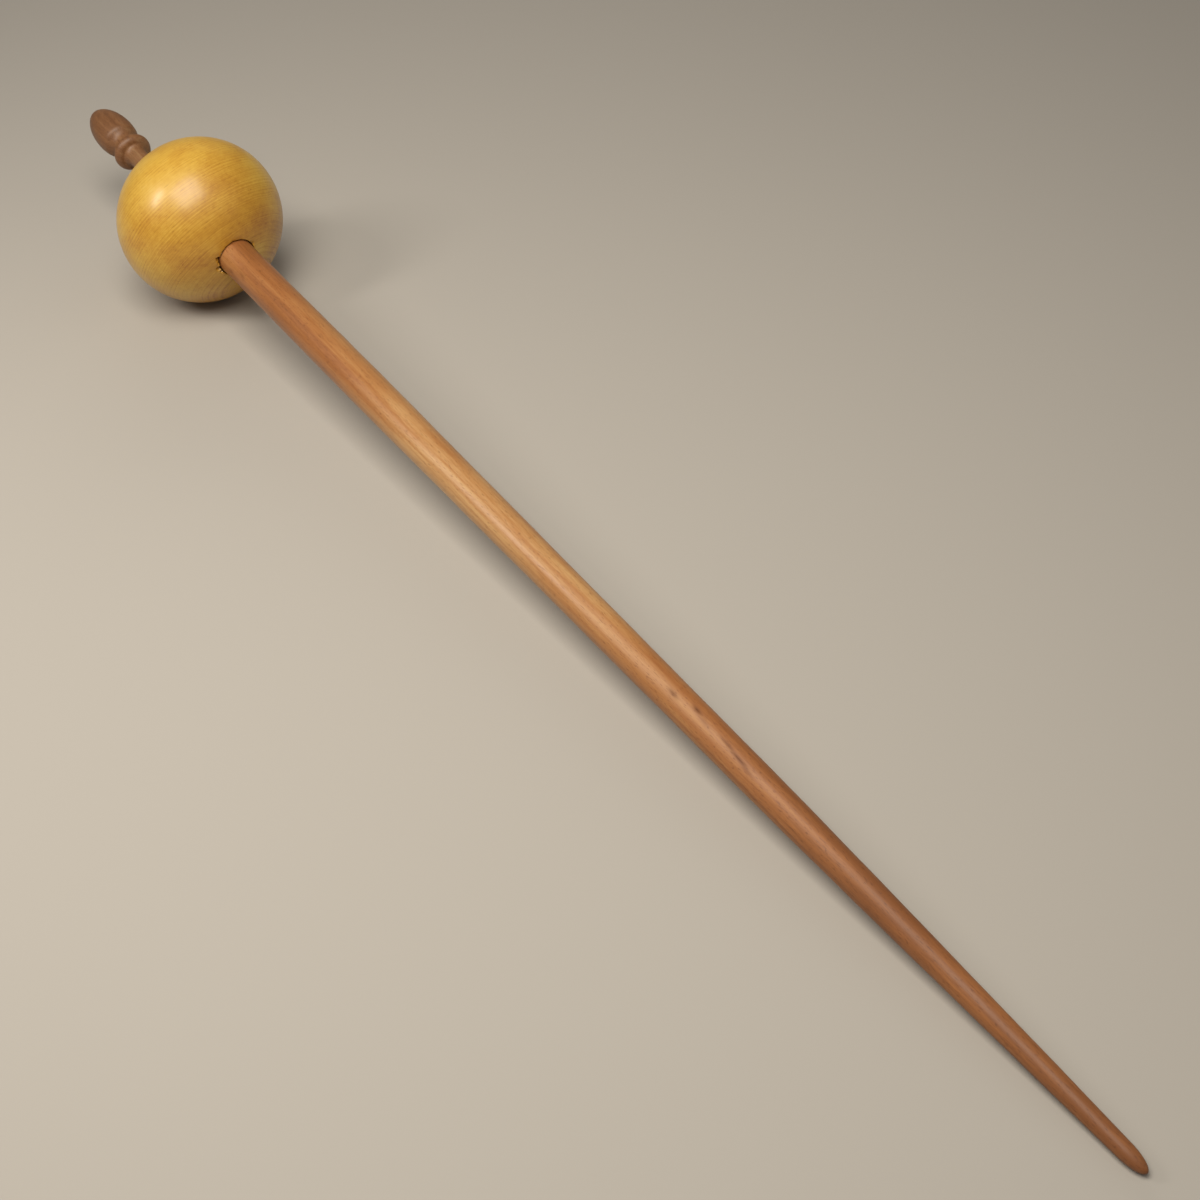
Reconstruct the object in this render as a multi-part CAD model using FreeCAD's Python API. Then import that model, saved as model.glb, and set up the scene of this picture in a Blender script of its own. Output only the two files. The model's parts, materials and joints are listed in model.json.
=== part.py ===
# Drop spindle: a turned stick held by friction in a turned wooden ball.
#
# The stick is one piece of wood. From one end to the other it has an egg-shaped finial, a waist, a domed
# collar, a neck where the yarn is hitched, a seat that grips the ball's bore, a barrel that carries the
# wound yarn, a long taper and a rounded tip. The ball is the whorl: it goes on over the tip and stops on
# the seat.
#
# Both pieces are turned about the spindle's own axis, with the ball's centre at 0 and the tip at +X.
# They are then laid on the table Z = 0, as a spindle lies at rest, on the ball's side and the tip.
import FreeCAD, Part
import math
import os

# Driving dimensions, in millimetres.

# Whorl: the ball.
ball_diameter = 40.0        # across the bore
ball_length = 36.4          # along the bore, before it is drilled: the ball is a little flattened
bore_diameter = 9.5         # drilled right through
lip_break = 0.08            # sharp edge taken off both mouths of the bore

# Seat: the stretch of the stick that holds the ball.
seat_clearance = 0.02       # between seat and bore, all round, at the seat's thick end
seat_taper = 0.03           # by how much the seat's radius falls over its length
seat_proud = 3.6            # how far the seat stands out of the ball on the finial side
seat_depth = 14.0           # how far the seat reaches into the bore

# Barrel and tapered blade.
barrel_gap = 0.37           # between barrel and bore, all round, where the barrel leaves the ball
barrel_lead = 4.0           # from the ball's mouth to where the barrel is parallel
barrel_length = 50.0        # parallel stretch
taper_drop = 1.16           # by how much the radius falls along the first, straight taper
taper_length = 143.0
point_radius = 1.60         # where the rounded tip begins
point_drop_share = 0.47     # part of the second taper's fall that its first half takes
point_length = 76.0         # second taper, slightly bowed
tip_length = 5.0            # rounded tip

# Finial, from the seat outwards: neck, domed collar, waist and egg.
shoulder_length = 3.4       # hollow rise from the neck to the seat
neck_radius = 2.45
neck_length = 6.8           # parallel stretch, where the yarn is hitched
flare_length = 1.96         # hollow rise from the neck to the foot of the collar
collar_proud = 0.05         # the collar's edge is this much larger than the bore, in radius
collar_foot_radius = 3.3    # foot of the collar's domed front
collar_front = 1.54         # from the collar's edge to the foot of its front
collar_back = 0.8           # from the collar's edge to its back
collar_back_fall = 0.45     # fall from the collar's edge to its back
waist_radius = 2.9
waist_width = 4.6
egg_proud = 0.12            # the egg is this much larger than the bore, in radius
egg_base = 3.8              # from the waist to the egg's thickest place
egg_base_fall = 0.42
egg_nose = 10.8             # from the egg's thickest place to its end
egg_fullness = 0.57         # 0.5 makes the nose an ellipse, and more makes it more pointed

# Sizes that follow.
ball_radius = ball_diameter / 2
ball_half_length = ball_length / 2
bore_radius = bore_diameter / 2
lip_radius = bore_radius + lip_break
mouth = ball_half_length * math.sqrt(1 - (lip_radius / ball_radius) ** 2)

seat_outer = -mouth - seat_proud
seat_inner = -mouth + seat_depth
seat_radius = bore_radius - seat_clearance
seat_end_radius = seat_radius - seat_taper

barrel_radius = bore_radius - barrel_gap
barrel_start = mouth + barrel_lead
barrel_end = barrel_start + barrel_length
taper_end = barrel_end + taper_length
taper_end_radius = barrel_radius - taper_drop
tip_start = taper_end + point_length
point_middle = taper_end + point_length / 2
point_middle_radius = taper_end_radius - point_drop_share * (taper_end_radius - point_radius)

neck_inner = seat_outer - shoulder_length
neck_outer = neck_inner - neck_length
collar_foot = neck_outer - flare_length
collar_edge = collar_foot - collar_front
collar_outer = collar_edge - collar_back
collar_radius = bore_radius + collar_proud
collar_outer_radius = collar_radius - collar_back_fall
egg_edge = collar_outer - waist_width
egg_radius = bore_radius + egg_proud
egg_edge_radius = egg_radius - egg_base_fall
egg_crown = egg_edge - egg_base
egg_end = egg_crown - egg_nose


def point(along, out):
    """A point of the half outline: distance along the axis, distance out from it."""
    return FreeCAD.Vector(along, 0, out)


def line(start, end):
    return Part.LineSegment(start, end).toShape()


def arc(start, middle, end):
    return Part.Arc(start, middle, end).toShape()


def oval_arc(middle, radius, end, stop_radius=0.0):
    """A quarter ellipse centred on the axis at middle, from its crown towards end, cut at stop_radius."""
    centre = point(middle, 0)
    crown = point(middle, radius)
    pole = point(end, 0)
    reach = math.acos(stop_radius / radius)
    if abs(end - middle) > radius:
        oval = Part.Ellipse(pole, crown, centre)
        return Part.ArcOfEllipse(oval, math.pi / 2 - reach, math.pi / 2).toShape()
    oval = Part.Ellipse(crown, pole, centre)
    return Part.ArcOfEllipse(oval, 0, reach).toShape()


def hollow(foot, top):
    """A hollow quarter ellipse: along the axis where it leaves foot, and square to it at top."""
    centre = point(foot.x, top.z)
    length = abs(top.x - foot.x)
    height = top.z - foot.z
    if length > height:
        oval = Part.Ellipse(top, foot, centre)
    else:
        oval = Part.Ellipse(foot, top, centre)
    return Part.ArcOfEllipse(oval, 0, math.pi / 2).toShape()


def dome(crown, foot):
    """A domed quarter ellipse: along the axis at crown, and square to it at foot."""
    centre = point(crown.x, foot.z)
    if abs(foot.x - crown.x) > crown.z - foot.z:
        oval = Part.Ellipse(foot, crown, centre)
    else:
        oval = Part.Ellipse(crown, foot, centre)
    return Part.ArcOfEllipse(oval, 0, math.pi / 2).toShape()


def collar_back_arc(outer, edge):
    """The circle's arc that is along the axis at the collar's edge and ends at its back."""
    length = edge.x - outer.x
    fall = edge.z - outer.z
    radius = (length ** 2 + fall ** 2) / (2 * fall)
    half_turn = math.asin(length / radius) / 2
    middle = point(edge.x - radius * math.sin(half_turn), edge.z - radius * (1 - math.cos(half_turn)))
    return arc(outer, middle, edge)


def egg_nose_curve():
    """The egg's outer half: its radius is the thickest one times (1 - share squared) to egg_fullness."""
    steps = 14
    places = []
    for step in range(steps + 1):
        share = math.sin(math.pi / 2 * step / steps)
        radius = egg_radius * max(0.0, 1 - share * share) ** egg_fullness
        places.append(point(egg_crown - egg_nose * share, radius))
    curve = Part.BSplineCurve()
    curve.interpolate(places, InitialTangent=point(-1, 0), FinalTangent=point(0, -1))
    return curve.toShape()


def turned(edges):
    """The solid that a closed half outline sweeps in one full turn about the spindle's axis."""
    outline = Part.Wire(Part.__sortEdges__(edges))
    return Part.Face(outline).revolve(FreeCAD.Vector(0, 0, 0), FreeCAD.Vector(1, 0, 0), 360)


def whorl():
    """The ball, with its bore and the broken edges of both mouths."""
    front_lip = point(mouth, lip_radius)
    front_bore = point(mouth - lip_break, bore_radius)
    back_bore = point(lip_break - mouth, bore_radius)
    back_lip = point(-mouth, lip_radius)
    return turned([
        oval_arc(0, ball_radius, -ball_half_length, lip_radius),
        oval_arc(0, ball_radius, ball_half_length, lip_radius),
        line(front_lip, front_bore),
        line(front_bore, back_bore),
        line(back_bore, back_lip),
    ])


def finial_edges():
    """The outline from the egg's end, over waist, collar and neck, to the seat's outer corner."""
    crown = point(egg_crown, egg_radius)
    egg_flank = point((egg_crown + egg_edge) / 2, egg_radius - egg_base_fall / 4)
    egg_corner = point(egg_edge, egg_edge_radius)
    waist = point((egg_edge + collar_outer) / 2, waist_radius)
    outer = point(collar_outer, collar_outer_radius)
    edge = point(collar_edge, collar_radius)
    foot = point(collar_foot, collar_foot_radius)
    neck_far = point(neck_outer, neck_radius)
    neck_near = point(neck_inner, neck_radius)
    return [
        egg_nose_curve(),
        arc(crown, egg_flank, egg_corner),
        arc(egg_corner, waist, outer),
        collar_back_arc(outer, edge),
        dome(edge, foot),
        hollow(neck_far, foot),
        line(neck_far, neck_near),
        hollow(neck_near, point(seat_outer, seat_radius)),
    ]


def shaft():
    """The stick, from the egg's end to the tip."""
    seat_corner = point(seat_outer, seat_radius)
    seat_foot = point(seat_inner, seat_end_radius)
    barrel_near = point(barrel_start, barrel_radius)
    barrel_far = point(barrel_end, barrel_radius)
    taper_foot = point(taper_end, taper_end_radius)
    tip_crown = point(tip_start, point_radius)
    tip = point(tip_start + tip_length, 0)
    edges = finial_edges()
    edges += [
        line(seat_corner, seat_foot),
        line(seat_foot, barrel_near),
        line(barrel_near, barrel_far),
        line(barrel_far, taper_foot),
        arc(taper_foot, point(point_middle, point_middle_radius), tip_crown),
        oval_arc(tip_start, point_radius, tip.x),
        line(tip, point(egg_end, 0)),
    ]
    return turned(edges)


def reach_down(slope, centre, half_length, radius):
    """How far an oval of revolution centred on the axis reaches towards a table at this slope."""
    along = half_length * math.sin(slope)
    out = radius * math.cos(slope)
    return centre * math.sin(slope) + math.hypot(along, out)


def resting_slope():
    """The slope at which the ball and the tip both touch the table, found by halving."""
    low = 0.0
    high = math.radians(30)
    for _ in range(60):
        slope = (low + high) / 2
        ball = reach_down(slope, 0, ball_half_length, ball_radius)
        tip = reach_down(slope, tip_start, tip_length, point_radius)
        if tip < ball:
            low = slope
        else:
            high = slope
    return slope


os.makedirs("parts", exist_ok=True)

slope = resting_slope()
lift = reach_down(slope, 0, ball_half_length, ball_radius)
axis = FreeCAD.Vector(math.cos(slope), 0, -math.sin(slope))
pieces = {"whorl": whorl(), "shaft": shaft()}

turn = FreeCAD.Rotation(FreeCAD.Vector(0, 1, 0), math.degrees(slope))
laid = FreeCAD.Placement(FreeCAD.Vector(0, 0, lift), turn)
for piece in pieces.values():
    piece.Placement = laid
box = pieces["shaft"].optimalBoundingBox(False)
middle = (box.XMin + box.XMax) / 2
for name, piece in pieces.items():
    piece.translate(FreeCAD.Vector(-middle, 0, 0))
    piece.exportStep("parts/" + name + ".step")

barrel_middle = FreeCAD.Vector(-middle, 0, lift) + axis * (barrel_start + barrel_length / 2)
print("axis towards the tip:", [round(value, 6) for value in axis])
print("ball centre, mm:", round(-middle, 4), 0.0, round(lift, 4))
print("barrel's middle, mm:", [round(value, 4) for value in barrel_middle])
print("barrel radius and length, mm:", barrel_radius, barrel_length)
print("travel that frees the ball, mm:", round(tip_start + tip_length + mouth, 2))
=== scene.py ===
import json
import math

import bpy
import numpy as np
from mathutils import Matrix, Vector


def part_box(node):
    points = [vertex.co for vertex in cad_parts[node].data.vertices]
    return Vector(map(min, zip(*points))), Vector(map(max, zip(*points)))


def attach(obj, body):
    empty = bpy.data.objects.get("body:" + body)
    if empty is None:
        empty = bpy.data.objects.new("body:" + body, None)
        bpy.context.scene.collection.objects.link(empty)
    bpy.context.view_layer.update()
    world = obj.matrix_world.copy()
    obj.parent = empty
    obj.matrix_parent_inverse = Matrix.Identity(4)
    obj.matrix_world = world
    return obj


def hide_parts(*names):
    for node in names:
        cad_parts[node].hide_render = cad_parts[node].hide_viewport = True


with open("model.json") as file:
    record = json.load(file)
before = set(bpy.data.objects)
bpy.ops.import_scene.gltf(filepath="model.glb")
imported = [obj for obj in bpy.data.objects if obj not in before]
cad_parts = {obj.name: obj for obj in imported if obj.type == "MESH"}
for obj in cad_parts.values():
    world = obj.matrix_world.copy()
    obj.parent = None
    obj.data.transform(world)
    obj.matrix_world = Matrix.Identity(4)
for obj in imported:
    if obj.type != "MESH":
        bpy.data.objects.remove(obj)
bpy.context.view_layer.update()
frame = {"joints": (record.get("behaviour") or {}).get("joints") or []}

MM = 0.001

# ---------------------------------------------------------------- the spindle's place in the frame

box_low, box_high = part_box("whorl")
BALL_CENTRE = (box_low + box_high) / 2
AXIS = -Vector(frame["joints"][0]["axis"]).normalized()      # towards the tip
SIDE = Vector((0.0, 1.0, 0.0))
TOP = AXIS.cross(SIDE)


def place(along, out, angle):
    """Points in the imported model's frame, in metres.

    Each is centre + along * axis + out * (cos angle * side + sin angle * top).
    """
    centre, axis, side, top = (np.array(v) for v in (BALL_CENTRE, AXIS, SIDE, TOP))
    reach = out * np.cos(angle)
    rise = out * np.sin(angle)
    return centre + MM * (along[..., None] * axis + reach[..., None] * side + rise[..., None] * top)


# ---------------------------------------------------------------- sizes, in millimetres

BALL_RADIUS = 20.0
BALL_HALF_LENGTH = 18.2
BORE_RADIUS = 4.75
LIP_BREAK = 0.08                    # sharp edge taken off both mouths of the bore
LIP_RADIUS = BORE_RADIUS + LIP_BREAK
MOUTH = BALL_HALF_LENGTH * math.sqrt(1 - (LIP_RADIUS / BALL_RADIUS) ** 2)

SEAT_RADIUS = 4.73
SEAT_END_RADIUS = 4.70
SEAT_OUTER = -MOUTH - 3.6
SEAT_INNER = -MOUTH + 14.0
SEAT_JOIN_REACH = 1.5               # from the seat's outer corner to where the stick's two outlines meet
SEAT_JOIN_FALL = 0.003              # about how far the seat's radius has fallen there

BARREL_RADIUS = 4.38
BARREL_START = MOUTH + 4.0
BARREL_END = BARREL_START + 50.0
TAPER_END = BARREL_END + 143.0
TAPER_END_RADIUS = BARREL_RADIUS - 1.16
TIP_RADIUS = 1.60
TIP_START = TAPER_END + 76.0
TIP_MIDDLE_RADIUS = TAPER_END_RADIUS - 0.47 * (TAPER_END_RADIUS - TIP_RADIUS)
TIP_LENGTH = 5.0

NECK_RADIUS = 2.45
NECK_INNER = SEAT_OUTER - 3.4
NECK_OUTER = NECK_INNER - 6.8
COLLAR_FOOT = NECK_OUTER - 1.96
COLLAR_FOOT_RADIUS = 3.3
COLLAR_EDGE = COLLAR_FOOT - 1.54
COLLAR_RADIUS = BORE_RADIUS + 0.05
COLLAR_OUTER = COLLAR_EDGE - 0.8
COLLAR_FALL = 0.45
WAIST_RADIUS = 2.9
EGG_EDGE = COLLAR_OUTER - 4.6
EGG_RADIUS = BORE_RADIUS + 0.12
EGG_FALL = 0.42
EGG_CROWN = EGG_EDGE - 3.8
EGG_NOSE = 10.8
EGG_FULLNESS = 0.57                 # 0.5 makes the nose an ellipse, and more makes it more pointed
EGG_CORNER_REACH = 1.6              # how far along the stick the egg's corner is sanded more than the rest

# ---------------------------------------------------------------- how finely the pieces are made

# Points along the outlines, and round each piece.
FINIAL_FINE_POINTS = 900
FINIAL_THINNING = 3                 # one fine point in three is kept
BLADE_POINTS = 620
BALL_POINTS = 216
BORE_POINTS = 48
ROUND_BALL = 320
ROUND_STICK = 96
LIP_CROWDING = 0.72                 # 0 spaces the ball's points evenly, and more crowds them at both lips

# Steps of the fine outline over which sanding rounds a corner.
LIGHT_SANDING = 4
HEAVY_SANDING = 11


# ---------------------------------------------------------------- outlines

def straight(start, end, count):
    """Points at equal steps from start to end."""
    share = np.linspace(0, 1, count)[:, None]
    return (1 - share) * np.array(start) + share * np.array(end)


def bow(start, middle, end, count):
    """The circle's arc from start, through middle, to end.

    Each point is centre + radius * (cos, sin), at equal steps of the angle.
    """
    (ax, ay), (bx, by), (cx, cy) = start, middle, end
    turn = 2 * (ax * (by - cy) + bx * (cy - ay) + cx * (ay - by))
    a, b, c = ax * ax + ay * ay, bx * bx + by * by, cx * cx + cy * cy
    centre = np.array([
        (a * (by - cy) + b * (cy - ay) + c * (ay - by)) / turn,
        (a * (cx - bx) + b * (ax - cx) + c * (bx - ax)) / turn,
    ])
    angles = [math.atan2(p[1] - centre[1], p[0] - centre[0]) for p in (start, middle, end)]
    angles = np.unwrap(angles)
    angle = np.linspace(angles[0], angles[2], count)
    radius = math.hypot(ax - centre[0], ay - centre[1])
    return centre + radius * np.stack([np.cos(angle), np.sin(angle)], axis=1)


def hollow(foot, top, count):
    """A hollow quarter ellipse, for u from 0 to a quarter turn.

    Along = foot + (top - foot) * sin u, and out = top - (top - foot) * cos u.
    """
    u = np.linspace(0, math.pi / 2, count)
    along = foot[0] + (top[0] - foot[0]) * np.sin(u)
    out = top[1] - (top[1] - foot[1]) * np.cos(u)
    return np.stack([along, out], axis=1)


def dome(crown, foot, count):
    """A domed quarter ellipse, for u from 0 to a quarter turn.

    Along = crown + (foot - crown) * sin u, and out = foot + (crown - foot) * cos u.
    """
    u = np.linspace(0, math.pi / 2, count)
    along = crown[0] + (foot[0] - crown[0]) * np.sin(u)
    out = foot[1] + (crown[1] - foot[1]) * np.cos(u)
    return np.stack([along, out], axis=1)


def spaced(outline, count):
    """The same outline at equal steps of its own length."""
    run = np.concatenate([[0], np.cumsum(np.hypot(*np.diff(outline, axis=0).T))])
    at = np.linspace(0, run[-1], count)
    return np.stack([np.interp(at, run, outline[:, 0]), np.interp(at, run, outline[:, 1])], axis=1)


def sanded(outline, reach):
    """Corners rubbed round: each point moves to the mean of its neighbours, weighted by a bell.

    The bell's standard deviation is reach steps, and it is cut off at three of them.
    """
    steps = np.arange(-3 * reach, 3 * reach + 1)
    weight = np.exp(-0.5 * (steps / reach) ** 2)
    weight /= weight.sum()
    ends = np.pad(outline, ((3 * reach, 3 * reach), (0, 0)), mode="reflect", reflect_type="odd")
    return np.stack([np.convolve(ends[:, i], weight, mode="valid") for i in (0, 1)], axis=1)


def finial_outline():
    """The finial from the egg's end to the seat: egg, waist, collar, neck and shoulder.

    The egg's nose is along = crown - nose * sin u, out = radius * (cos u) ** (2 * fullness), for u from a
    quarter turn to 0. All of it is sanded lightly, and the egg's corner more.
    """
    turn = np.linspace(math.pi / 2, 0, 160)
    nose = np.stack([
        EGG_CROWN - EGG_NOSE * np.sin(turn),
        EGG_RADIUS * np.cos(turn) ** (2 * EGG_FULLNESS),
    ], axis=1)
    egg_corner = (EGG_EDGE, EGG_RADIUS - EGG_FALL)
    egg_flank = ((EGG_CROWN + EGG_EDGE) / 2, EGG_RADIUS - EGG_FALL / 4)
    waist = ((EGG_EDGE + COLLAR_OUTER) / 2, WAIST_RADIUS)
    collar_outer = (COLLAR_OUTER, COLLAR_RADIUS - COLLAR_FALL)
    collar_mirror = (2 * COLLAR_EDGE - COLLAR_OUTER, COLLAR_RADIUS - COLLAR_FALL)
    collar_edge = (COLLAR_EDGE, COLLAR_RADIUS)
    collar_foot = (COLLAR_FOOT, COLLAR_FOOT_RADIUS)
    seat_join = (SEAT_OUTER + SEAT_JOIN_REACH, SEAT_RADIUS - SEAT_JOIN_FALL)
    outline = np.concatenate([
        nose,
        bow((EGG_CROWN, EGG_RADIUS), egg_flank, egg_corner, 40),
        bow(egg_corner, waist, collar_outer, 60),
        bow(collar_outer, collar_edge, collar_mirror, 41)[:21],
        dome(collar_edge, collar_foot, 40),
        hollow((NECK_OUTER, NECK_RADIUS), collar_foot, 40)[::-1],
        straight((NECK_OUTER, NECK_RADIUS), (NECK_INNER, NECK_RADIUS), 30),
        hollow((NECK_INNER, NECK_RADIUS), (SEAT_OUTER, SEAT_RADIUS), 40),
        straight((SEAT_OUTER, SEAT_RADIUS), seat_join, 12),
    ])
    outline = spaced(outline, FINIAL_FINE_POINTS)
    sharp, soft = sanded(outline, LIGHT_SANDING), sanded(outline, HEAVY_SANDING)
    share = bell((outline[:, :1] - EGG_EDGE) / EGG_CORNER_REACH)
    return ((1 - share) * sharp + share * soft)[::FINIAL_THINNING]


def blade_outline():
    """The stick from the seat to the tip: seat, barrel, long taper, bowed taper and rounded end.

    The end is a quarter ellipse: along = start + length * sin u, out = radius * cos u.
    """
    seat_share = SEAT_JOIN_REACH / (SEAT_INNER - SEAT_OUTER)
    start = (SEAT_OUTER + SEAT_JOIN_REACH, SEAT_RADIUS - seat_share * (SEAT_RADIUS - SEAT_END_RADIUS))
    turn = np.linspace(0, math.pi / 2, 60)
    tip = np.stack([TIP_START + TIP_LENGTH * np.sin(turn), TIP_RADIUS * np.cos(turn)], axis=1)
    middle = ((TAPER_END + TIP_START) / 2, TIP_MIDDLE_RADIUS)
    outline = np.concatenate([
        straight(start, (SEAT_INNER, SEAT_END_RADIUS), 20),
        straight((SEAT_INNER, SEAT_END_RADIUS), (BARREL_START, BARREL_RADIUS), 20),
        straight((BARREL_START, BARREL_RADIUS), (BARREL_END, BARREL_RADIUS), 20),
        straight((BARREL_END, BARREL_RADIUS), (TAPER_END, TAPER_END_RADIUS), 20),
        bow((TAPER_END, TAPER_END_RADIUS), middle, (TIP_START, TIP_RADIUS), 60),
        tip,
    ])
    return spaced(outline, BLADE_POINTS)


# ---------------------------------------------------------------- meshes

def piece(name, points, faces, material, body, node):
    """A named mesh at the origin that rides on a body and stands for a CAD node."""
    mesh = bpy.data.meshes.new(name)
    mesh.from_pydata(points.reshape(-1, 3), [], faces)
    mesh.polygons.foreach_set("use_smooth", np.ones(len(mesh.polygons), bool))
    mesh.materials.append(material)
    mesh.update()
    made = bpy.data.objects.new(name, mesh)
    bpy.context.scene.collection.objects.link(made)
    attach(made, body)
    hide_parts(node)
    return made


def ring_faces(rings, around, closed):
    """Four-cornered faces between neighbouring rings of points.

    If closed, the last ring is joined to the first.
    """
    row = np.arange(rings if closed else rings - 1)[:, None]
    column = np.arange(around)[None, :]
    here, there = row * around, ((row + 1) % rings) * around
    after = (column + 1) % around
    return np.stack([here + column, here + after, there + after, there + column], axis=-1).reshape(-1, 4)


def bell(x):
    """1 at 0, falling to nothing on both sides: e ** (-x * x)."""
    return np.exp(-x * x)


def angle_from(angle, centre_degrees):
    """The signed angle from centre_degrees, in degrees."""
    return (np.degrees(angle) - centre_degrees + 180) % 360 - 180


# Places where the drill tore the tip-side mouth: angle and width in degrees, then reach and depth in
# millimetres.
TEARS = [
    (163, 6.5, 0.62, 0.95),
    (174, 4.0, 0.32, 0.45),
    (193, 6.0, 0.85, 0.60),
    (205, 4.5, 0.40, 0.45),
    (262, 6.0, 0.45, 0.30),
    (330, 6.0, 0.40, 0.30),
    (28, 8.0, 0.45, 0.22),
    (95, 5.0, 0.30, 0.15),
]
PIT_RAGGEDNESS = 0.12               # share by which a pit's outline and depth vary
EDGE_CHATTER = 0.03                 # mean depth of the drill's chatter on the edge between pits
EDGE_REACH = 0.25                   # how far out from the lip the chatter reaches


def torn(angle, away):
    """How far the wood at the mouth is torn down along the axis, in millimetres.

    Each pit is deep * bell of (angle / width) ** 2 + (away / reach) ** 2, so its bottom is flat. The
    deepest pit counts. Between them the edge is slightly ragged, by a product of two sines.
    """
    chatter = 1 + np.sin(9 * angle + 0.6) * np.sin(23 * angle + 2.0)
    depth = EDGE_CHATTER * chatter * bell(away / EDGE_REACH)
    for centre, width, reach, deep in TEARS:
        ragged = 1 + PIT_RAGGEDNESS * np.sin(41 * angle + centre)
        spread = (angle_from(angle, centre) / width) ** 2 + (away / (reach * ragged)) ** 2
        depth = np.maximum(depth, deep * ragged * bell(spread))
    return depth


def whorl_points(around):
    """The ball as one closed loop of outline, turned.

    Outside: out = radius * sin q, along = half length * cos q, with q from lip to lip and steps closer at
    both lips. Inside: the two broken edges and the bore. The torn mouth lowers the tip-side lip along the
    axis, and the bore just behind it follows.
    """
    lip = math.asin(LIP_RADIUS / BALL_RADIUS)
    x = np.linspace(0, 1, BALL_POINTS)
    q = lip + (math.pi - 2 * lip) * (x - LIP_CROWDING * np.sin(2 * math.pi * x) / (2 * math.pi))
    outside = np.stack([BALL_HALF_LENGTH * np.cos(q), BALL_RADIUS * np.sin(q)], axis=1)
    far = straight((-MOUTH, LIP_RADIUS), (LIP_BREAK - MOUTH, BORE_RADIUS), 4)[1:]
    bore = straight((LIP_BREAK - MOUTH, BORE_RADIUS), (MOUTH - LIP_BREAK, BORE_RADIUS), BORE_POINTS)[1:]
    near = straight((MOUTH - LIP_BREAK, BORE_RADIUS), (MOUTH, LIP_RADIUS), 4)[1:-1]
    outline = np.concatenate([outside, far, bore, near])
    rings = len(outline)
    angle = np.linspace(0, 2 * math.pi, around, endpoint=False)[None, :]
    along = outline[:, :1] + np.zeros_like(angle)
    out = outline[:, 1:] + np.zeros_like(angle)
    inside = np.zeros(rings, bool)
    inside[len(outside):] = True
    away = np.where(inside, 0.0, outline[:, 1] - LIP_RADIUS)[:, None]
    share = np.where(inside, np.clip((outline[:, 0] + MOUTH) / (2 * MOUTH), 0, 1) ** 6, 1.0)
    share = np.where(~inside & (outline[:, 0] < 0), 0.0, share)[:, None]
    along = along - share * torn(angle, away)
    return place(along, out, np.broadcast_to(angle, along.shape)), rings


def make_whorl(material):
    """The ball: its closed outline turned, with no poles."""
    points, rings = whorl_points(ROUND_BALL)
    faces = ring_faces(rings, ROUND_BALL, True)
    return piece("whorl_ball", points, faces.tolist(), material, "whorl", "whorl")


# Dark pore marks in the stick's wood: place along it and length in millimetres, angle and width in
# degrees, and strength.
PORE_MARKS = [
    (181.8, 1.4, 114, 7, 0.85),
    (187.7, 1.3, 97, 8, 0.90),
    (190.4, 1.6, 108, 6, 0.45),
    (197.0, 2.4, 106, 5, 0.75),
    (200.6, 2.6, 113, 6, 1.00),
    (203.0, 1.8, 121, 5, 0.60),
    (22.5, 0.8, 168, 6, 0.60),
    (27.0, 1.2, 150, 6, 0.50),
]
MARK_LEAN = 1.2                     # degrees round the stick for each millimetre along it


def mark_strength(along, angle):
    """How dark the pore marks are at each point: the strongest of the marks.

    A mark is strength * bell of (along / length) * bell of (angle / width), leaning a little.
    """
    dark = np.zeros_like(along)
    for centre, length, turn, width, strength in PORE_MARKS:
        lean = (along - centre) * MARK_LEAN
        mark = strength * bell((along - centre) / length) * bell((angle_from(angle, turn) - lean) / width)
        dark = np.maximum(dark, mark)
    return dark


WAVE_STARTS_OVER = 8.0              # the waviness grows from nothing over this much of the stick
WAVE_ENDS_OVER = 20.0               # and dies away over this much before the tip


def hand_turned(along):
    """The turner's slight waviness, in millimetres of radius.

    It is the sum of two sines. The finial, the seat and the tip have none.
    """
    wave = 0.014 * np.sin(along / 6.1) + 0.010 * np.sin(along / 2.3 + 1.0)
    off_seat = np.clip((along - SEAT_INNER) / WAVE_STARTS_OVER, 0, 1)
    off_tip = np.clip((TIP_START - along) / WAVE_ENDS_OVER, 0, 1)
    return wave * off_seat * off_tip


def make_shaft(material):
    """The stick: its outline turned, with one closing point at the egg's end and one at the tip."""
    around = ROUND_STICK
    outline = np.concatenate([finial_outline()[:-1], blade_outline()])
    outline[:, 1] += hand_turned(outline[:, 0])
    start, end = outline[0, 0], outline[-1, 0]
    rows = outline[1:-1]
    angle = np.broadcast_to(np.linspace(0, 2 * math.pi, around, endpoint=False), (len(rows), around))
    along = np.broadcast_to(rows[:, :1], angle.shape)
    out = np.broadcast_to(rows[:, 1:], angle.shape)
    rings = place(along, out, angle).reshape(-1, 3)
    poles = place(np.array([start, end]), np.zeros(2), np.zeros(2))
    points = np.concatenate([rings, poles])
    faces = ring_faces(len(rows), around, False)[:, ::-1].tolist()
    column = np.arange(around)
    after = (column + 1) % around
    last = (len(rows) - 1) * around
    first_pole, last_pole = len(rings), len(rings) + 1
    faces += np.stack([column, after, np.full(around, first_pole)], axis=1).tolist()
    faces += np.stack([last + after, last + column, np.full(around, last_pole)], axis=1).tolist()
    made = piece("spindle_shaft", points, faces, material, "shaft", "shaft")
    dark = np.append(mark_strength(along, angle).ravel(), [0, 0])
    mark = made.data.attributes.new("pore_marks", "FLOAT", "POINT")
    mark.data.foreach_set("value", dark.astype(np.float32))
    return made


# ---------------------------------------------------------------- materials

PORE_DEPTH = 0.02                   # the relief's depth, in millimetres


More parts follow.
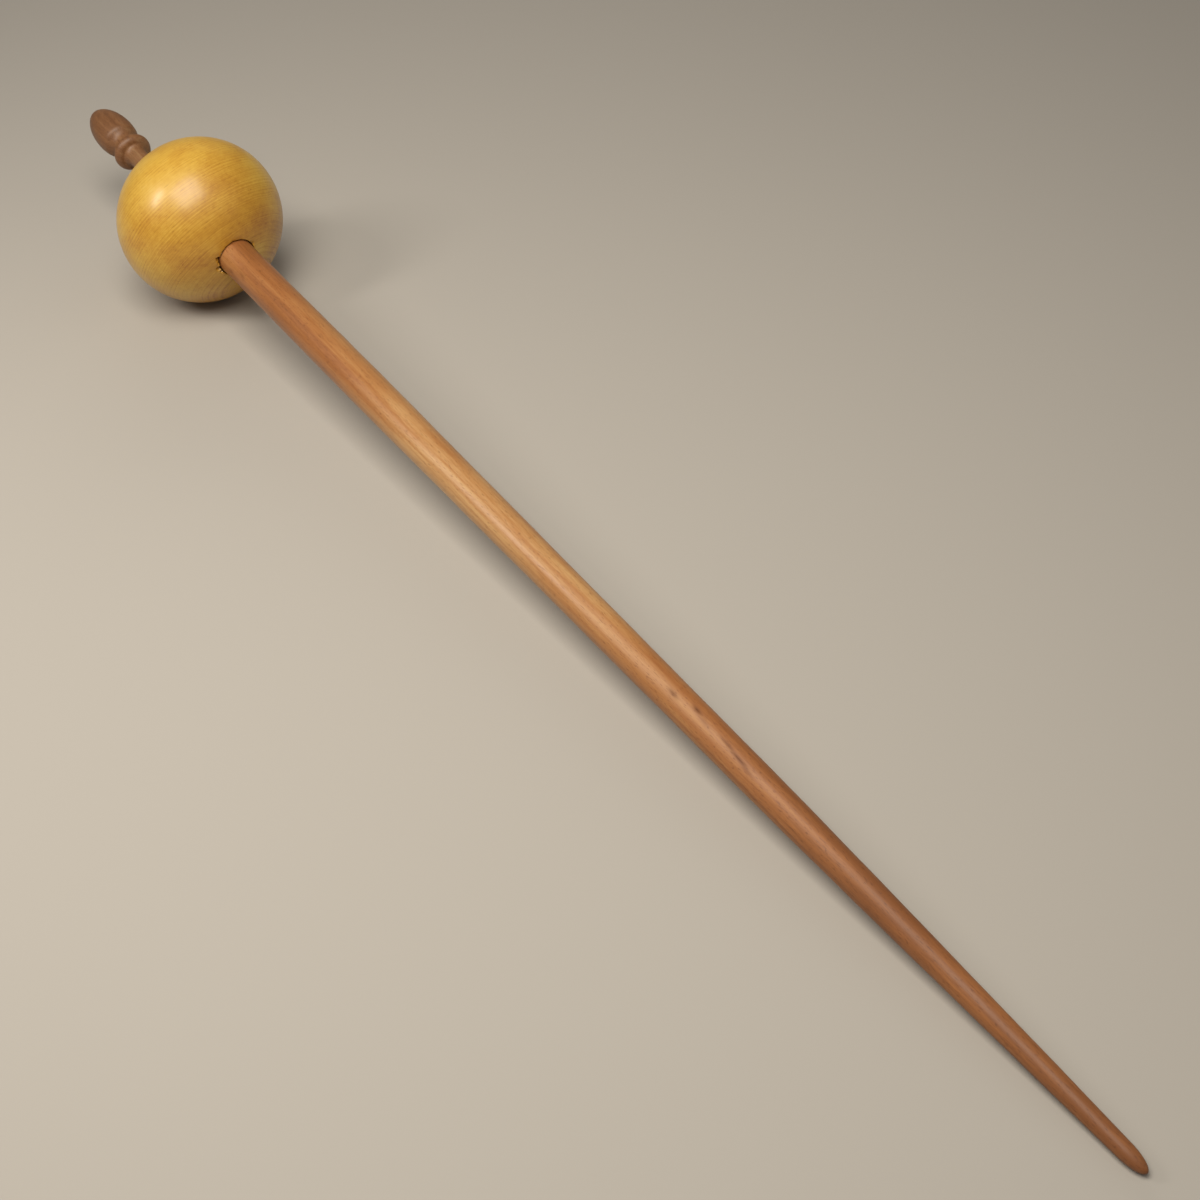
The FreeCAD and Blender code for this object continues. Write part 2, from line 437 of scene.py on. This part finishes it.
class Nodes:
    """Short names for the nodes that the woods are made of."""

    def __init__(self, name):
        self.material = bpy.data.materials.new(name)
        self.material.use_nodes = True
        self.tree = self.material.node_tree
        self.shader = self.tree.nodes["Principled BSDF"]

    def add(self, kind, **values):
        node = self.tree.nodes.new(kind)
        for key, value in values.items():
            setattr(node, key, value)
        return node

    def feed(self, socket, value):
        if isinstance(value, bpy.types.NodeSocket):
            self.tree.links.new(value, socket)
        elif value is not None:
            socket.default_value = value

    def math(self, operation, first, second=None):
        node = self.add("ShaderNodeMath", operation=operation)
        self.feed(node.inputs[0], first)
        self.feed(node.inputs[1], second)
        return node.outputs[0]

    def weighted(self, *parts):
        """The sum of each value times its weight."""
        total = None
        for value, weight in parts:
            part = self.math("MULTIPLY", value, weight)
            total = part if total is None else self.math("ADD", total, part)
        return total

    def map(self, value, low, high, to_low=0.0, to_high=1.0):
        """A smooth step from to_low, where value is low, to to_high, where it is high."""
        node = self.add("ShaderNodeMapRange", interpolation_type="SMOOTHSTEP")
        for socket, given in zip(node.inputs, (value, low, high, to_low, to_high)):
            self.feed(socket, given)
        return node.outputs[0]

    def grain(self, vector, sizes, detail=2.0, roughness=0.5):
        """Cloudy noise whose clouds have these sizes, in millimetres, along the wood's three directions."""
        stretch = self.add("ShaderNodeMapping")
        self.feed(stretch.inputs["Vector"], vector)
        stretch.inputs["Scale"].default_value = [1 / size for size in sizes]
        noise = self.add("ShaderNodeTexNoise")
        self.feed(noise.inputs["Vector"], stretch.outputs[0])
        noise.inputs["Scale"].default_value = 1.0
        noise.inputs["Detail"].default_value = detail
        noise.inputs["Roughness"].default_value = roughness
        return noise.outputs["Fac"]

    def ramp(self, value, stops):
        """Colours in a row, each at its own place in the value."""
        node = self.add("ShaderNodeValToRGB")
        self.feed(node.inputs[0], value)
        elements = node.color_ramp.elements
        while len(elements) < len(stops):
            elements.new(0.5)
        for element, (position, colour) in zip(elements, stops):
            element.position = position
            element.color = (*colour, 1.0)
        return node.outputs[0]

    def stain(self, share, colour, dye):
        """The colour multiplied by a dye, as far as share says."""
        node = self.add("ShaderNodeMix", data_type="RGBA", blend_type="MULTIPLY")
        self.feed(node.inputs[0], share)
        self.feed(node.inputs[6], colour)
        self.feed(node.inputs[7], (*dye, 1.0))
        return node.outputs[2]

    def finish(self, colour, roughness, coat_weight, coat_roughness, relief):
        """The finished wood: its colour, its gloss under a coat of varnish, and its shallow relief."""
        inputs = self.shader.inputs
        self.feed(inputs["Base Color"], colour)
        self.feed(inputs["Roughness"], roughness)
        inputs["Coat Weight"].default_value = coat_weight
        inputs["Coat Roughness"].default_value = coat_roughness
        bump = self.add("ShaderNodeBump")
        bump.inputs["Strength"].default_value = 0.5
        bump.inputs["Distance"].default_value = PORE_DEPTH * MM
        self.feed(bump.inputs["Height"], relief)
        self.feed(inputs["Normal"], bump.outputs[0])
        return self.material


def wood_directions(nodes, across, fibre):
    """Object coordinates turned into the wood's own, in millimetres from the ball's centre.

    The first runs across the growth rings, the second along the fibres and the third square to both.
    """
    third = across.cross(fibre)
    turn = Matrix((across, fibre, third))
    coordinates = nodes.add("ShaderNodeTexCoord")
    mapping = nodes.add("ShaderNodeMapping")
    nodes.feed(mapping.inputs["Vector"], coordinates.outputs["Object"])
    mapping.inputs["Scale"].default_value = [1 / MM] * 3
    mapping.inputs["Rotation"].default_value = turn.to_euler("XYZ")
    mapping.inputs["Location"].default_value = -(turn @ (BALL_CENTRE / MM))
    return mapping.outputs[0]


# The ball's wood. Its growth rings are cylinders about the tree's heart, which lies outside the ball.
HEART_DISTANCE = 420.0              # from the ball's centre to the heart, in millimetres
RING_SPACING = 0.72                 # between growth rings, in millimetres
RING_SWAY = 1.1                     # how far the rings wander, in millimetres
BALL_ACROSS = Vector((0.8075, 0.1652, -0.5652)).normalized()
BALL_FIBRE = Vector((0.0995, 0.9079, 0.4068))       # squared up to BALL_ACROSS where it is used

# The stick's wood is cut with its rings this way, and its fibres run along the axis.
STICK_ACROSS = (SIDE * 0.55 + TOP * 0.83).normalized()


def yellow_wood():
    """Varnished yellow wood: fine growth rings, short dark vessel lines along the fibres, cloudy tone."""
    nodes = Nodes("yellow_wood")
    fibre = (BALL_FIBRE - BALL_FIBRE.dot(BALL_ACROSS) * BALL_ACROSS).normalized()
    wood = wood_directions(nodes, BALL_ACROSS, fibre)

    # The distance from the tree's heart, with a slow sway, beats once for each ring.
    heart = nodes.add("ShaderNodeVectorMath", operation="MULTIPLY_ADD")
    nodes.feed(heart.inputs[0], wood)
    heart.inputs[1].default_value = (1, 0, 1)
    heart.inputs[2].default_value = (HEART_DISTANCE, 0, 0)
    distance = nodes.add("ShaderNodeVectorMath", operation="LENGTH")
    nodes.feed(distance.inputs[0], heart.outputs[0])
    sway = nodes.grain(wood, (7, 22, 9), detail=2)
    ring = nodes.math("ADD", distance.outputs["Value"], nodes.math("MULTIPLY", sway, RING_SWAY))
    beat = nodes.math("SINE", nodes.math("MULTIPLY", ring, 2 * math.pi / RING_SPACING))
    ring_line = nodes.map(beat, 0.1, 1.0)
    uneven = nodes.add("ShaderNodeTexNoise", noise_dimensions="1D")
    nodes.feed(uneven.inputs["W"], nodes.math("MULTIPLY", ring, 0.8))
    uneven.inputs["Detail"].default_value = 2.0
    bands = uneven.outputs["Fac"]

    # The rings show in patches, and the vessels lie mostly on the dark line of each ring.
    clouds = nodes.grain(wood, (9, 16, 11), detail=2)
    patches = nodes.map(nodes.grain(wood, (6, 13, 8), detail=1), 0.40, 0.60, 0.25, 1.0)
    ring_line = nodes.math("MULTIPLY", ring_line, patches)
    fibres = nodes.grain(wood, (0.22, 3.6, 0.35), detail=3, roughness=0.6)
    mottle = nodes.grain(wood, (1.0, 1.5, 1.1), detail=3, roughness=0.6)
    vessels = nodes.map(nodes.grain(wood, (0.26, 2.1, 0.42), detail=1.0), 0.60, 0.70)
    vessels = nodes.math("MULTIPLY", vessels, nodes.map(ring_line, 0.0, 0.7, 0.15, 1.0))

    # Painted shade: from one side of the ball to the other, across the rings, the colour deepens from straw
    # to amber, darker on the side turned away from the light.
    painted_shade_side = nodes.map(distance.outputs["Value"], HEART_DISTANCE - 20, HEART_DISTANCE + 22, 0.06, -0.07)
    tone = nodes.weighted((clouds, 0.48), (bands, 0.20), (fibres, 0.18), (mottle, 0.16), (ring_line, -0.05))
    # The painted shade is added to the tone.
    tone = nodes.math("ADD", tone, painted_shade_side)
    colour = nodes.ramp(tone, [
        (0.30, (0.370, 0.145, 0.010)),
        (0.44, (0.530, 0.272, 0.025)),
        (0.58, (0.650, 0.397, 0.054)),
        (0.74, (0.705, 0.485, 0.120)),
    ])
    colour = nodes.stain(nodes.math("MULTIPLY", vessels, 0.45), colour, (0.55, 0.36, 0.16))

    roughness = nodes.map(fibres, 0.3, 0.7, 0.40, 0.54)
    relief = nodes.weighted((fibres, 0.5), (vessels, -1.0))
    return nodes.finish(colour, roughness, 0.60, 0.25, relief)


def red_brown_wood():
    """Satin reddish-brown wood: straight fine grain along the stick, small pores and a few dark marks."""
    nodes = Nodes("red_brown_wood")
    wood = wood_directions(nodes, STICK_ACROSS, AXIS)

    clouds = nodes.grain(wood, (9, 55, 9), detail=2)
    bands = nodes.grain(wood, (1.3, 70, 6), detail=2)
    streaks = nodes.grain(wood, (0.40, 14, 0.55), detail=3, roughness=0.6)
    fine = nodes.grain(wood, (0.14, 2.6, 0.16), detail=2, roughness=0.6)
    pores = nodes.map(nodes.grain(wood, (0.16, 1.1, 0.16), detail=0.0), 0.66, 0.76)

    # The middle of the stick is painted paler than its two ends, a painted pool of light, and the ends are
    # painted darker as painted shade; the finial is painted darker still, as painted shade.
    # Hands have dulled the tip, and the finial a little.
    directions = nodes.add("ShaderNodeSeparateXYZ")
    nodes.feed(directions.inputs[0], wood)
    along = directions.outputs["Y"]
    painted_light_middle = nodes.map(along, 15, 120, -0.08, 0.12)
    painted_shade_tip = nodes.map(along, 110, 245, 0.0, -0.26)
    painted_light_and_shade = nodes.math("ADD", painted_light_middle, painted_shade_tip)
    finial = nodes.map(along, -30, -15, 1.0, 0.0)
    worn = nodes.math("ADD", nodes.map(along, 130, 240, 0.0, 0.26), nodes.math("MULTIPLY", finial, 0.12))
    tone = nodes.weighted((clouds, 0.36), (bands, 0.28), (streaks, 0.24), (fine, 0.14))
    # The painted light and shade along the stick are added to the tone.
    tone = nodes.math("ADD", tone, painted_light_and_shade)
    colour = nodes.ramp(tone, [
        (0.32, (0.215, 0.075, 0.020)),
        (0.44, (0.325, 0.125, 0.036)),
        (0.56, (0.415, 0.196, 0.066)),
        (0.70, (0.540, 0.325, 0.140)),
    ])
    # The finial is painted darker here, as painted shade.
    colour = nodes.stain(finial, colour, (0.66, 0.76, 1.0))
    colour = nodes.stain(nodes.math("MULTIPLY", pores, 0.5), colour, (0.42, 0.30, 0.22))
    marks = nodes.add("ShaderNodeAttribute", attribute_name="pore_marks")
    marked = nodes.math("MULTIPLY", marks.outputs["Fac"], nodes.map(streaks, 0.35, 0.55, 0.8, 1.0))
    colour = nodes.stain(marked, colour, (0.34, 0.21, 0.10))

    dull = nodes.math("ADD", worn, nodes.math("MULTIPLY", marked, 0.30))
    roughness = nodes.math("ADD", nodes.map(streaks, 0.3, 0.7, 0.34, 0.46), dull)
    relief = nodes.weighted((fine, 0.6), (pores, -1.0))
    return nodes.finish(colour, roughness, 0.18, 0.32, relief)


# ---------------------------------------------------------------- camera, floor and light

CAMERA_AZIMUTH = math.radians(52.27)
CAMERA_ELEVATION = math.radians(45.58)
RIGHT = Vector((math.cos(CAMERA_AZIMUTH), math.sin(CAMERA_AZIMUTH), 0))
BACK = Vector((
    math.sin(CAMERA_AZIMUTH) * math.cos(CAMERA_ELEVATION),
    -math.cos(CAMERA_AZIMUTH) * math.cos(CAMERA_ELEVATION),
    math.sin(CAMERA_ELEVATION),
))
UP = BACK.cross(RIGHT)
CAMERA_PLACE = (0.09649, -0.09172, 0.41088)     # right, up and back from the ball's centre, in metres


def make_camera():
    """Above and beside the spindle, with the ball far and the tip near."""
    right, up, back = CAMERA_PLACE
    data = bpy.data.cameras.new("camera")
    data.lens = 51
    data.sensor_width = 36
    data.clip_start = 0.01
    camera = bpy.data.objects.new("camera", data)
    camera.location = BALL_CENTRE + right * RIGHT + up * UP + back * BACK
    camera.rotation_mode = "QUATERNION"
    camera.rotation_quaternion = (-BACK).to_track_quat("-Z", "Y")
    bpy.context.scene.collection.objects.link(camera)
    bpy.context.scene.camera = camera


def make_floor():
    """A plain pale table top."""
    mesh = bpy.data.meshes.new("floor")
    half = 4.0
    corners = [(-half, -half, 0), (half, -half, 0), (half, half, 0), (-half, half, 0)]
    mesh.from_pydata(corners, [], [(0, 1, 2, 3)])
    material = bpy.data.materials.new("floor")
    material.use_nodes = True
    shader = material.node_tree.nodes["Principled BSDF"]
    shader.inputs["Base Color"].default_value = (0.42, 0.40, 0.37, 1)
    shader.inputs["Roughness"].default_value = 0.9
    mesh.materials.append(material)
    floor = bpy.data.objects.new("floor", mesh)
    bpy.context.scene.collection.objects.link(floor)


def seen(right, up, back):
    """A direction given as the viewer sees it: to the right, upwards and towards the viewer."""
    return right * RIGHT + up * UP + back * BACK


# Lamps: name, its start along the spindle's axis and its distance from there in metres, its direction, the
# way its long side runs, its two sides in metres, its power in watts and its colour.
LAMPS = [
    ("key", 0.0, 0.30, seen(-0.6315, 0.2270, 0.7410), seen(0.514, 0.849, 0.129), (0.10, 0.045), 0.31,
     (1.0, 0.92, 0.82)),
    ("overhead", 0.0, 0.44, seen(0.03, 0.29, 0.956), SIDE, (0.28, 0.28), 1.90, (1.0, 0.92, 0.80)),
    ("fill", 0.0, 0.80, seen(0.7259, 0.1744, 0.6629), UP, (0.60, 0.60), 0.30, (1.0, 0.93, 0.84)),
    ("behind", 0.08, 0.80, seen(-0.10, 0.93, -0.36), RIGHT, (0.50, 0.25), 1.00, (1.0, 0.93, 0.84)),
]
LIT_PLACE = BALL_CENTRE + 0.13 * AXIS       # every lamp faces this point of the stick


def area_light(name, along, distance, direction, long_way, size, power, colour):
    """A soft rectangular lamp that faces LIT_PLACE, with its long side along long_way."""
    data = bpy.data.lights.new(name, "AREA")
    data.shape = "RECTANGLE"
    data.size, data.size_y = size
    data.energy = power
    data.color = colour
    stand = BALL_CENTRE + along * AXIS + distance * direction
    back = (stand - LIT_PLACE).normalized()
    long_side = (long_way - long_way.dot(back) * back).normalized()
    short_side = back.cross(long_side)
    turn = Matrix((long_side, short_side, back)).transposed().to_4x4()
    lamp = bpy.data.objects.new(name, data)
    lamp.matrix_world = Matrix.Translation(stand) @ turn
    bpy.context.scene.collection.objects.link(lamp)
    return lamp


def make_lights():
    """A small lamp at the left, a wide one overhead, weak ones at the right and behind, and a dim room."""
    lamps = {lamp[0]: area_light(*lamp) for lamp in LAMPS}
    lamps["behind"].visible_glossy = False      # it lights the floor and the edges, with no bright rim
    world = bpy.data.worlds.new("room")
    world.use_nodes = True
    background = world.node_tree.nodes["Background"]
    background.inputs["Color"].default_value = (1.0, 0.95, 0.88, 1)
    background.inputs["Strength"].default_value = 0.12
    bpy.context.scene.world = world
    bpy.context.scene.view_settings.view_transform = "Standard"


make_camera()
make_floor()
make_lights()
make_whorl(yellow_wood())
make_shaft(red_brown_wood())
